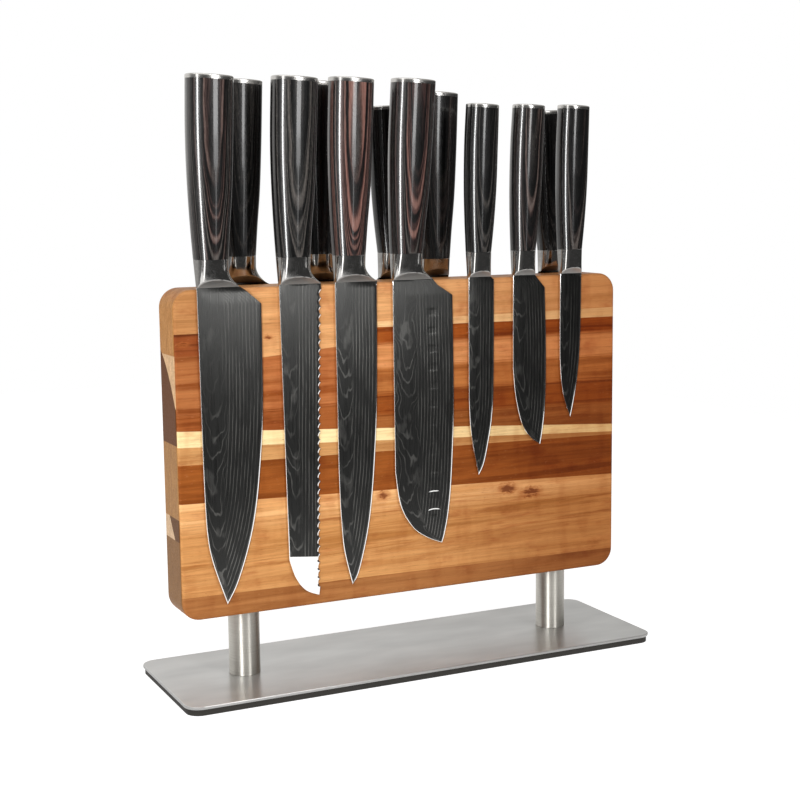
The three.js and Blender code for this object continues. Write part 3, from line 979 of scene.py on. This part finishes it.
def blade_columns(width, name):
    """Distances across a row, with close ones over the rounded spine and the cutting bevel."""
    count = DIMPLED_COLUMNS if name == DIMPLED else COLUMNS
    scale = min(1.0, width / NARROW_ROW)
    turns = [pi / 2 * i / SPINE_STEPS for i in range(SPINE_STEPS)]
    spine = [SPINE_ROUND * scale * (1 - cos(turn)) for turn in turns]
    first, last = SPINE_MARGIN * SPINE_ROUND * scale, width - EDGE_BEVEL * scale
    middle = [first + (last - first) * i / count for i in range(count + 1)]
    bevel = width - BEVEL_MIDDLE * EDGE_BEVEL * scale
    return [*spine, SPINE_ROUND * scale, *middle, bevel, width]


def edge_distance(name, x, drop, inward, cutting):
    """How far a point of the blade is from the cutting edge. inward is its distance from the row's end."""
    edge = min(nearest(x, drop, cutting), inward + HEEL_MARGIN) if drop > 0 else FAR_FROM_EDGE
    if name == SERRATED and inward < BEVEL_REACH * EDGE_BEVEL:
        edge = min(edge, inward)
    return edge


def blade_shape(knife, plane, mirror):
    """Vertices, faces and measures of a blade hanging below its origin, with its tang above."""
    name = knife.name
    back, right, cutting = blade_lines(name)
    widest = max(x for x, _ in right)
    vertices, measures, sheets = [], [], []
    for side in (-1, 1):
        rows = []
        for drop in blade_drops(name, back, right):
            left = across_at(back, drop)
            width = max(LEAST_WIDTH, across_at(right, drop) - left - tooth_cut(name, drop))
            columns = blade_columns(width, name)
            rows.append(range(len(vertices), len(vertices) + len(columns)))
            for offset in columns:
                x = left + offset
                edge = edge_distance(name, x, drop, width - offset, cutting)
                hollow = dimple(name, x, drop) if side == -1 else 0.0
                half = half_thickness(edge, offset, widest) - hollow
                vertices.append((x, side * half, -drop))
                measures.append((edge, offset, drop))
        sheets.append(rows)
    faces = join_sheets(*sheets)
    add_tang(knife, vertices, measures, faces)
    if mirror:
        vertices = [(-x, -y, z) for x, y, z in vertices]
    return [(x, y + plane, z) for x, y, z in vertices], faces, measures


def join_sheets(front, back):
    """Faces over two grids of vertex numbers and round their shared rim."""
    faces = []
    for i in range(len(front) - 1):
        for j in range(len(front[0]) - 1):
            faces.append((front[i][j], front[i + 1][j], front[i + 1][j + 1], front[i][j + 1]))
            faces.append((back[i][j], back[i][j + 1], back[i + 1][j + 1], back[i + 1][j]))
        faces.append((back[i][0], back[i + 1][0], front[i + 1][0], front[i][0]))
        faces.append((front[i][-1], front[i + 1][-1], back[i + 1][-1], back[i][-1]))
    for j in range(len(front[0]) - 1):
        faces.append((front[0][j], front[0][j + 1], back[0][j + 1], back[0][j]))
        faces.append((back[-1][j], back[-1][j + 1], front[-1][j + 1], front[-1][j]))
    return faces


def add_tang(knife, vertices, measures, faces):
    """The flat bar that carries on from the blade, up through the bolster and the handle."""
    size = knife.size
    base = len(vertices)
    rings = []
    for height in (0.0, knife.bolster + size.length - size.cap - 2 * GAP):
        _, left, right, _ = station(size, max(0.0, height - knife.bolster))
        middle = (left + right) / 2 + lean_at(knife, height)
        reach = ((-1, -1), (1, -1), (1, 1), (-1, 1))
        rings.append([(middle + x * TANG_HALF_WIDTH, y * BLADE_HALF, height) for x, y in reach])
    bar, sides = skin(rings)
    vertices += bar
    measures += [TANG_MEASURES] * len(bar)
    faces += [tuple(base + i for i in face) for face in sides]


def lean_at(knife, height):
    return knife.lean * height / LEAN_LENGTH


def station(size, height):
    """The handle's section at a height above the bolster, on a smooth curve through its stations."""
    rows = size.stations
    height = max(rows[0][0], min(rows[-1][0], height))
    i = max(j for j in range(len(rows) - 1) if rows[j][0] <= height)
    here, there = rows[i], rows[i + 1]
    part = (height - here[0]) / (there[0] - here[0])
    values = [height]
    for k in (1, 2, 3):
        start = slope_at(rows, i, k) * (there[0] - here[0])
        end = slope_at(rows, i + 1, k) * (there[0] - here[0])
        values.append(hermite(here[k], there[k], start, end, part))
    return values


def slope_at(rows, i, k):
    before, after = rows[max(i - 1, 0)], rows[min(i + 1, len(rows) - 1)]
    return (after[k] - before[k]) / (after[0] - before[0])


def hermite(a, b, start, end, t):
    return (
        a * (2 * t**3 - 3 * t**2 + 1)
        + b * (3 * t**2 - 2 * t**3)
        + start * (t**3 - 2 * t**2 + t)
        + end * (t**3 - t**2)
    )


def section(height, left, right, half, shift=0.0, slope=0.0):
    """A rounded section's points, tilted by slope towards the edge side."""
    points = []
    reach = (right - left) / 2
    middle = (left + right) / 2 + shift
    for i in range(SECTION_SIDES):
        turn = 2 * pi * i / SECTION_SIDES
        x = rounded(cos(turn)) * reach
        y = rounded(sin(turn)) * half
        points.append((middle + x, y, height - slope * x))
    return points


def rounded(value):
    return copysign(abs(value) ** (2 / SECTION_POWER), value)


def handle_ring(knife, height, inset=0.0, slope=0.0):
    _, left, right, half = station(knife.size, height)
    up = knife.bolster + height
    return section(up, left + inset, right - inset, half - inset, lean_at(knife, up), slope)


def handle_rings(knife):
    size = knife.size
    top = size.length - size.cap - SEAM
    rise = BUTT_START * size.length
    rings = []
    for i in range(HANDLE_STEPS + 1):
        height = SEAM + (top - SEAM) * i / HANDLE_STEPS
        slope = BUTT_SLOPE * max(0.0, (height - rise) / (top - rise))
        rings.append(handle_ring(knife, height, 0.0, slope))
    return rings


def cap_rings(knife):
    low, high = knife.size.length - knife.size.cap, knife.size.length
    rings = []
    for height in (low, (low + high - CAP_RIM_ROUND) / 2, high - CAP_RIM_ROUND):
        rings.append(handle_ring(knife, height, 0.0, BUTT_SLOPE))
    for i in range(1, CAP_RIM_STEPS + 1):
        angle = i / CAP_RIM_STEPS * pi / 2
        inset = CAP_RIM_ROUND * (1 - cos(angle))
        rise = CAP_RIM_ROUND * (1 - sin(angle))
        rings.append(handle_ring(knife, high - rise, inset, BUTT_SLOPE))
    return rings


def bolster_rings(knife):
    """The bolster narrows to the blade by a plunge on each face and flares out to the blade's neck."""
    size, tall = knife.size, knife.bolster
    foot, shoulder = size.foot, size.shoulder
    neck = BLADES[knife.name].neck[-1][0]
    _, left, right, half = station(size, 0.0)
    rings = []
    for i in range(BOLSTER_STEPS + 1):
        height = SEAM + (tall - 2 * SEAM) * (i / BOLSTER_STEPS) ** BOLSTER_CROWDING
        part = height / tall
        flare = max(0.0, 1 - part / FLARE_REACH) ** 2
        thick = shoulder + (half - shoulder) * part**SWELL_POWER
        plunge = foot + (thick - foot) * min(1.0, height / size.plunge)
        spine_side = NECK_START * (1 - part) + left * part
        edge_side = right + (neck - right) * flare
        ring = section(height, spine_side, edge_side, thick, lean_at(knife, height) * part)
        rings.append([(x, copysign(min(abs(y), plunge), y), z) for x, y, z in ring])
    return rings


def loft(name, rings, plane, mirror, material):
    """A body through rings, moved to the plane of its blade and turned round where its edge points to -X."""
    sign = -1 if mirror else 1
    placed = [[(sign * x, sign * y + plane, z) for x, y, z in ring] for ring in rings]
    return mesh_object(name, *skin(placed), material)


def build_knife(knife, steel):
    """The blade, bolster, handle and end cap of one knife, in this order."""
    name = knife.name
    low, high = millimetres(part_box(f"{name}_blade"))
    top = millimetres(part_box(f"{name}_bolster"))[0][2] - GAP
    mirror = name in TURNED
    spine = high[0] if mirror else low[0]
    plane = (low[1] + high[1]) / 2
    wood = shader(f"laminate_{name}", laminate(knife, plane))
    coat = shader(f"coated_{name}", coated_blade(knife))
    vertices, faces, measures = blade_shape(knife, plane, mirror)
    pieces = [
        mesh_object(f"{name}_patterned_blade", vertices, faces, coat, measures),
        loft(f"{name}_steel_bolster", bolster_rings(knife), plane, mirror, steel),
        loft(f"{name}_wood_handle", handle_rings(knife), plane, mirror, wood),
        loft(f"{name}_steel_cap", cap_rings(knife), plane, mirror, steel),
    ]
    for piece, (node, slot) in zip(pieces, KNIFE_SLOTS.items()):
        piece.location = (spine * MM, 0.0, top * MM)
        finish_piece(piece, f"{name}_knife", slot, f"{name}_{node}")
    return pieces


def carried_over(frame):
    """Finishes for the CAD nodes that stay: the pad, the bolts and the magnet bars."""
    bolt = uneven_metal(1.0, (1.0, 1.0, 2.0), 3.0, ("#8d8c8a", "#a5a4a2"), (0.3, 0.45))
    magnet = uneven_metal(0.8, (0.8, 0.8, 0.8), 4.0, ("#4c4d50", "#626366"), (0.4, 0.6))
    finishes = {
        "base_pad": shader("pad_rubber", rubber),
        "_bolt": shader("bolt_steel", bolt),
        "_magnet_bar": shader("magnet", magnet),
    }
    for node, shown in frame["nodes"].items():
        for ending, finish in finishes.items():
            if node.endswith(ending):
                shown.data.materials.clear()
                shown.data.materials.append(finish)


def floor():
    left, right, front, back = FLOOR
    vertices = [(x, y, FLOOR_LEVEL) for x, y in ((left, front), (right, front), (right, back), (left, back))]
    piece = mesh_object("pale_floor", vertices, [(0, 1, 2, 3)], shader("pale_floor", floor_finish))
    piece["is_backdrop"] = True


def camera():
    azimuth, down, roll = map(radians, (CAMERA_AZIMUTH, CAMERA_DOWN, CAMERA_ROLL))
    level_reach = cos(down)
    ahead = Vector((sin(azimuth) * level_reach, cos(azimuth) * level_reach, -sin(down)))
    level = Vector((cos(azimuth), -sin(azimuth), 0.0))
    up = level.cross(ahead)
    right = level * cos(roll) + up * sin(roll)
    over = up * cos(roll) - level * sin(roll)
    data = bpy.data.cameras.new("camera")
    data.lens = CAMERA_LENS
    data.sensor_width = SENSOR_WIDTH
    made = bpy.data.objects.new("camera", data)
    made.matrix_world = Matrix((right, over, -ahead)).transposed().to_4x4()
    made.location = Vector(CAMERA_PLACE) * MM
    bpy.context.scene.collection.objects.link(made)
    bpy.context.scene.camera = made


def softbox(name, azimuth, low, high, width, distance, brightness):
    """An area light facing the object, sized by the angles it covers."""
    turn, rise = radians(azimuth), radians((low + high) / 2)
    away = Vector((sin(turn) * cos(rise), -cos(turn) * cos(rise), sin(rise)))
    across = 2 * distance * tan(radians(width) / 2)
    tall = 2 * distance * tan(radians(high - low) / 2)
    return area_light(name, Vector(LIGHT_CENTRE) + away * distance, away, (across, tall), brightness)


def area_light(name, place, away, size, brightness):
    data = bpy.data.lights.new(name, "AREA")
    data.shape = "RECTANGLE"
    data.size, data.size_y = size
    data.energy = brightness * pi * data.size * data.size_y
    made = bpy.data.objects.new(name, data)
    made.location = place
    made.rotation_mode = "QUATERNION"
    made.rotation_quaternion = away.to_track_quat("Z", "Y")
    made.visible_camera = False
    made.visible_diffuse = name not in SHINE_ONLY
    bpy.context.scene.collection.objects.link(made)
    return made


def choose_lit(light, pieces, state="INCLUDE"):
    """Lets a light reach only these pieces, or with EXCLUDE all but these."""
    chosen = bpy.data.collections.new(f"chosen_for_{light.name}")
    for piece in pieces:
        chosen.objects.link(piece)
    for member in chosen.collection_objects:
        member.light_linking.link_state = state
    light.light_linking.receiver_collection = chosen


def blade_box():
    away = Vector(BLADE_BOX_AWAY)
    return area_light("blade_box", Vector(BLADE_BOX_CENTRE), away, BLADE_BOX_SIZE, BLADE_BOX_BRIGHTNESS)


def surroundings():
    """A white room for the eye and for diffuse light, brighter behind than in front for reflections."""
    world = bpy.data.worlds.new("studio")
    world.use_nodes = True
    g = Graph(world.node_tree)
    path = g.node("LightPath").outputs
    towards = g.split(g.node("TexCoord").outputs["Generated"])
    behind = g.step(g.minus(towards[1], g.times(towards[0], 0.35)), 0.1, 0.8)
    left = g.step(towards[0], 0.1, -0.9)
    above = g.step(towards[2], 0.1, 0.4)
    low_left = g.times(g.step(towards[2], 0.02, -0.06), g.step(towards[0], 0.35, 0.0))
    behind = g.times(behind, g.minus(1.0, g.times(low_left, 0.6)))
    grey = g.ramp(behind, [(0.0, "#3c3c3c"), (1.0, "#fbfaf8")])
    side = g.mix(g.times(left, 0.4), grey, colour("#9a9a9a"), "LIGHTEN")
    side = g.mix(g.times(above, 0.6), side, colour("#dcdad6"), "LIGHTEN")
    soft = g.mix(path["Is Glossy Ray"], colour("#9c9c9c"), side)
    seen = g.mix(path["Is Camera Ray"], soft, colour("#ffffff"))
    background = g.node("Background", {"Color": seen, "Strength": 1.0})
    g.node("OutputWorld", {"Surface": background.outputs[0]})
    bpy.context.scene.world = world


def corners(bounds):
    return [list(corner) for corner in bounds]


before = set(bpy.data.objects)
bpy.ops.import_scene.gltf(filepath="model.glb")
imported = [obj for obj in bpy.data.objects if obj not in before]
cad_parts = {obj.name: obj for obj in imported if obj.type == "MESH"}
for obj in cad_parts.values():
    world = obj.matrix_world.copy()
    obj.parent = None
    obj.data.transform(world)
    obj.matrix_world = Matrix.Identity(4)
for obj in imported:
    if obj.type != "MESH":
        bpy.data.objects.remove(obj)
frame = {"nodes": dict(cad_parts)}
cad_box = corners(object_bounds())
bpy.context.scene.view_settings.view_transform = "Standard"

camera()
surroundings()
lights = {name: softbox(name, *settings) for name, settings in SOFTBOXES.items()}
floor()

carried_over(frame)
base_plate(shader("brushed_plate", brushed_plate))
board(shader("acacia", acacia))
post_finish = shader("turned_steel", turned_steel)
for post_side in ("left", "right"):
    post(post_side, post_finish)
polished = shader("polished_steel", polished_steel)
made_knives = [build_knife(one_knife, polished) for one_knife in KNIVES]
blades, bolsters, handles, caps = zip(*made_knives)
choose_lit(blade_box(), blades)
choose_lit(lights["key_shine"], handles)
choose_lit(lights["steel_strip"], [*blades, *bolsters, *caps])
choose_lit(lights["key_strip"], [*blades, *bolsters, *caps], "EXCLUDE")

{"cad": cad_box, "visual": corners(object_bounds())}
